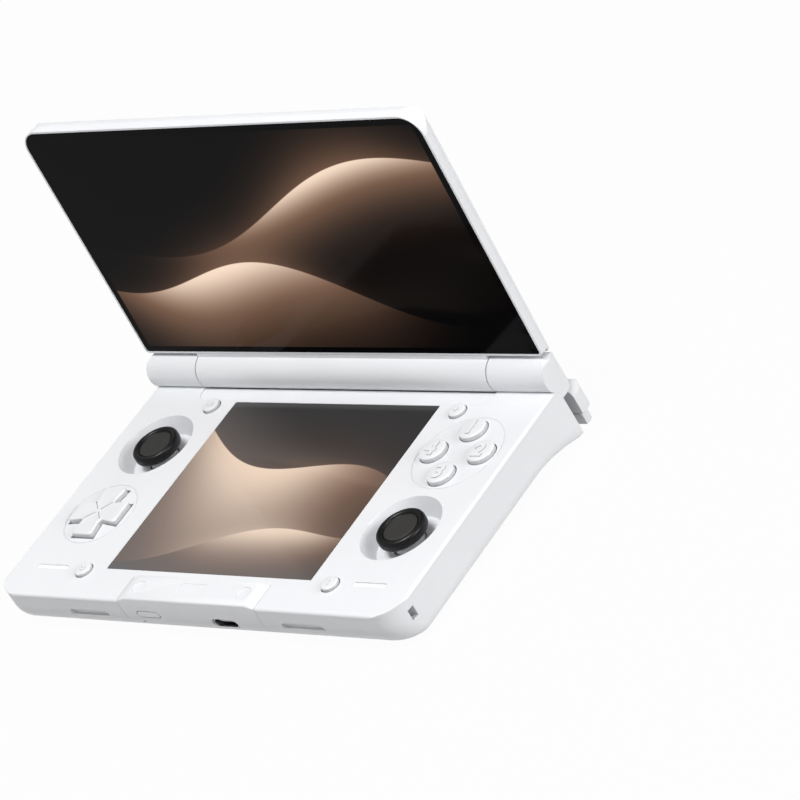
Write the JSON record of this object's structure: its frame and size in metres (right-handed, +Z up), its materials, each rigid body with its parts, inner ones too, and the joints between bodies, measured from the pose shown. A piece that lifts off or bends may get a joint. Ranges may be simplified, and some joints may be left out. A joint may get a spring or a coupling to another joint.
{
  "type": "clamshell handheld game console",
  "caption": "Folding handheld game console with a screen in the lid and one in the base, two thumbsticks, a direction pad, face buttons and shoulder keys",
  "frame": {"origin": "middle of the footprint on the table, under the grip humps and the front edge that the console rests on", "axes": "+X to the right along the hinge, +Y from the front edge to the hinge, +Z up; the lid stands open as it is used"},
  "size_m": [0.15, 0.0955, 0.1056],
  "materials": {
    "white_shell": "fine satin texture",
    "white_keys": "smooth satin",
    "black_glass": "polished, black behind",
    "display_stack": "layered panel",
    "black_rubber": "soft matte",
    "dark_plastic": "moulded",
    "steel": "plated",
    "alloy": "stamped sheet",
    "bearing_brass": "turned",
    "circuit_board": "solder mask",
    "battery_wrap": "foil wrap",
    "silicone": "soft matte"
  },
  "bodies": {
    "base": {"base_top_shell": "white_shell", "base_bottom_shell": "white_shell", "front_insert": "white_shell", "case_screws": "steel", "lower_glass": "black_glass", "lower_display": "display_stack", "mid_frame": "alloy", "main_board": "circuit_board", "heat_spreader": "alloy", "battery": "battery_wrap", "left_board": "circuit_board", "right_board": "circuit_board", "left_speaker": "dark_plastic", "right_speaker": "dark_plastic", "usb_port": "steel", "headphone_jack": "dark_plastic", "card_slot": "steel", "tact_switches": "steel", "face_membrane": "silicone", "dpad_membrane": "silicone", "left_stick_module": "dark_plastic", "right_stick_module": "dark_plastic", "left_shoulder_pin": "steel", "right_shoulder_pin": "steel", "left_hinge_bush": "bearing_brass", "right_hinge_bush": "bearing_brass", "base_cable": "dark_plastic"},
    "lid": {"lid_barrel": "white_shell", "lid_back_shell": "white_shell", "lid_frame": "white_shell", "upper_glass": "black_glass", "upper_display": "display_stack", "lid_board": "circuit_board", "display_cable": "dark_plastic", "left_hinge_pin": "steel", "right_hinge_pin": "steel"},
    "left_stick_cradle": {"left_stick_cradle": "steel"},
    "left_stick_dome": {"left_stick_dome": "white_keys"},
    "left_stick": {"left_stick_stem": "dark_plastic", "left_stick_cap": "black_rubber"},
    "left_bumper": {"left_bumper": "white_keys"},
    "left_trigger": {"left_trigger": "white_keys"},
    "right_stick_cradle": {"right_stick_cradle": "steel"},
    "right_stick_dome": {"right_stick_dome": "white_keys"},
    "right_stick": {"right_stick_stem": "dark_plastic", "right_stick_cap": "black_rubber"},
    "right_bumper": {"right_bumper": "white_keys"},
    "right_trigger": {"right_trigger": "white_keys"},
    "dpad": {"dpad": "white_keys"},
    "face_button_top": {"face_button_top": "white_keys"},
    "face_button_right": {"face_button_right": "white_keys"},
    "face_button_bottom": {"face_button_bottom": "white_keys"},
    "face_button_left": {"face_button_left": "white_keys"},
    "upper_left_button": {"upper_left_button": "white_keys"},
    "upper_right_button": {"upper_right_button": "white_keys"},
    "lower_left_button": {"lower_left_button": "white_keys"},
    "lower_right_button": {"lower_right_button": "white_keys"},
    "power_button": {"power_button": "white_keys"},
    "volume_rocker": {"volume_rocker": "white_keys"}
  },
  "joints": [
    {"name": "lid_hinge", "type": "hinge", "parent": "base", "child": "lid", "pos_m": [0, 0.04064, 0.01999], "axis": [1, 0, 0], "range_deg": [-55, 92.2]},
    {"name": "left_stick_tilt_x", "type": "hinge", "parent": "base", "child": "left_stick_cradle", "pos_m": [-0.0573, 0.01294, 0.00724], "axis": [1, 0, 0], "range_deg": [-10, 10], "stiffness_Nm_per_rad": 0.03},
    {"name": "left_stick_tilt_y", "type": "hinge", "parent": "left_stick_cradle", "child": "left_stick_dome", "pos_m": [-0.0573, 0.01294, 0.00724], "axis": [0, 0.9992, 0.0411], "range_deg": [-10, 10], "stiffness_Nm_per_rad": 0.03},
    {"name": "left_stick_click", "type": "slide", "parent": "left_stick_dome", "child": "left_stick", "axis": [0, -0.0411, 0.9992], "range_m": [-0.0003, 0], "stiffness_N_per_m": 1200},
    {"name": "right_stick_tilt_x", "type": "hinge", "parent": "base", "child": "right_stick_cradle", "pos_m": [0.0563, -0.01534, 0.00608], "axis": [1, 0, 0], "range_deg": [-10, 10], "stiffness_Nm_per_rad": 0.03},
    {"name": "right_stick_tilt_y", "type": "hinge", "parent": "right_stick_cradle", "child": "right_stick_dome", "pos_m": [0.0563, -0.01534, 0.00608], "axis": [0, 0.9992, 0.0411], "range_deg": [-10, 10], "stiffness_Nm_per_rad": 0.03},
    {"name": "right_stick_click", "type": "slide", "parent": "right_stick_dome", "child": "right_stick", "axis": [0, -0.0411, 0.9992], "range_m": [-0.0003, 0], "stiffness_N_per_m": 1200},
    {"name": "dpad_tilt", "type": "hinge", "parent": "base", "child": "dpad", "pos_m": [-0.0573, -0.01554, 0.01097], "axis": [0, 0.9992, 0.0411], "range_deg": [-2.5, 2.5], "stiffness_Nm_per_rad": 0.02},
    {"name": "face_button_top_press", "type": "slide", "parent": "base", "child": "face_button_top", "axis": [0, -0.0411, 0.9992], "range_m": [-0.0007, 0], "stiffness_N_per_m": 500},
    {"name": "face_button_right_press", "type": "slide", "parent": "base", "child": "face_button_right", "axis": [0, -0.0411, 0.9992], "range_m": [-0.0007, 0], "stiffness_N_per_m": 500},
    {"name": "face_button_bottom_press", "type": "slide", "parent": "base", "child": "face_button_bottom", "axis": [0, -0.0411, 0.9992], "range_m": [-0.0007, 0], "stiffness_N_per_m": 500},
    {"name": "face_button_left_press", "type": "slide", "parent": "base", "child": "face_button_left", "axis": [0, -0.0411, 0.9992], "range_m": [-0.0007, 0], "stiffness_N_per_m": 500},
    {"name": "upper_left_press", "type": "slide", "parent": "base", "child": "upper_left_button", "axis": [0, -0.0411, 0.9992], "range_m": [-0.00025, 0], "stiffness_N_per_m": 800},
    {"name": "upper_right_press", "type": "slide", "parent": "base", "child": "upper_right_button", "axis": [0, -0.0411, 0.9992], "range_m": [-0.00025, 0], "stiffness_N_per_m": 800},
    {"name": "lower_left_press", "type": "slide", "parent": "base", "child": "lower_left_button", "axis": [0, -0.0411, 0.9992], "range_m": [-0.00025, 0], "stiffness_N_per_m": 800},
    {"name": "lower_right_press", "type": "slide", "parent": "base", "child": "lower_right_button", "axis": [0, -0.0411, 0.9992], "range_m": [-0.00025, 0], "stiffness_N_per_m": 800},
    {"name": "power_press", "type": "slide", "parent": "base", "child": "power_button", "axis": [0, 0.9992, 0.0411], "range_m": [0, 0.0003], "stiffness_N_per_m": 800},
    {"name": "volume_rock", "type": "hinge", "parent": "base", "child": "volume_rocker", "pos_m": [0, 0.04441, 0.01114], "axis": [0, -0.0411, 0.9992], "range_deg": [-1.3, 1.3], "stiffness_Nm_per_rad": 0.05},
    {"name": "left_bumper_press", "type": "hinge", "parent": "base", "child": "left_bumper", "pos_m": [-0.03445, 0.045, 0.00886], "axis": [0, -0.0411, 0.9992], "range_deg": [0, 1.2], "stiffness_Nm_per_rad": 0.2},
    {"name": "left_trigger_press", "type": "hinge", "parent": "base", "child": "left_trigger", "pos_m": [-0.03445, 0.04525, 0.00286], "axis": [0, -0.0411, 0.9992], "range_deg": [0, 1.6], "stiffness_Nm_per_rad": 0.2},
    {"name": "right_bumper_press", "type": "hinge", "parent": "base", "child": "right_bumper", "pos_m": [0.03445, 0.045, 0.00886], "axis": [0, -0.0411, 0.9992], "range_deg": [-1.2, 0], "stiffness_Nm_per_rad": 0.2},
    {"name": "right_trigger_press", "type": "hinge", "parent": "base", "child": "right_trigger", "pos_m": [0.03445, 0.04525, 0.00286], "axis": [0, -0.0411, 0.9992], "range_deg": [-1.6, 0], "stiffness_Nm_per_rad": 0.2}
  ]
}
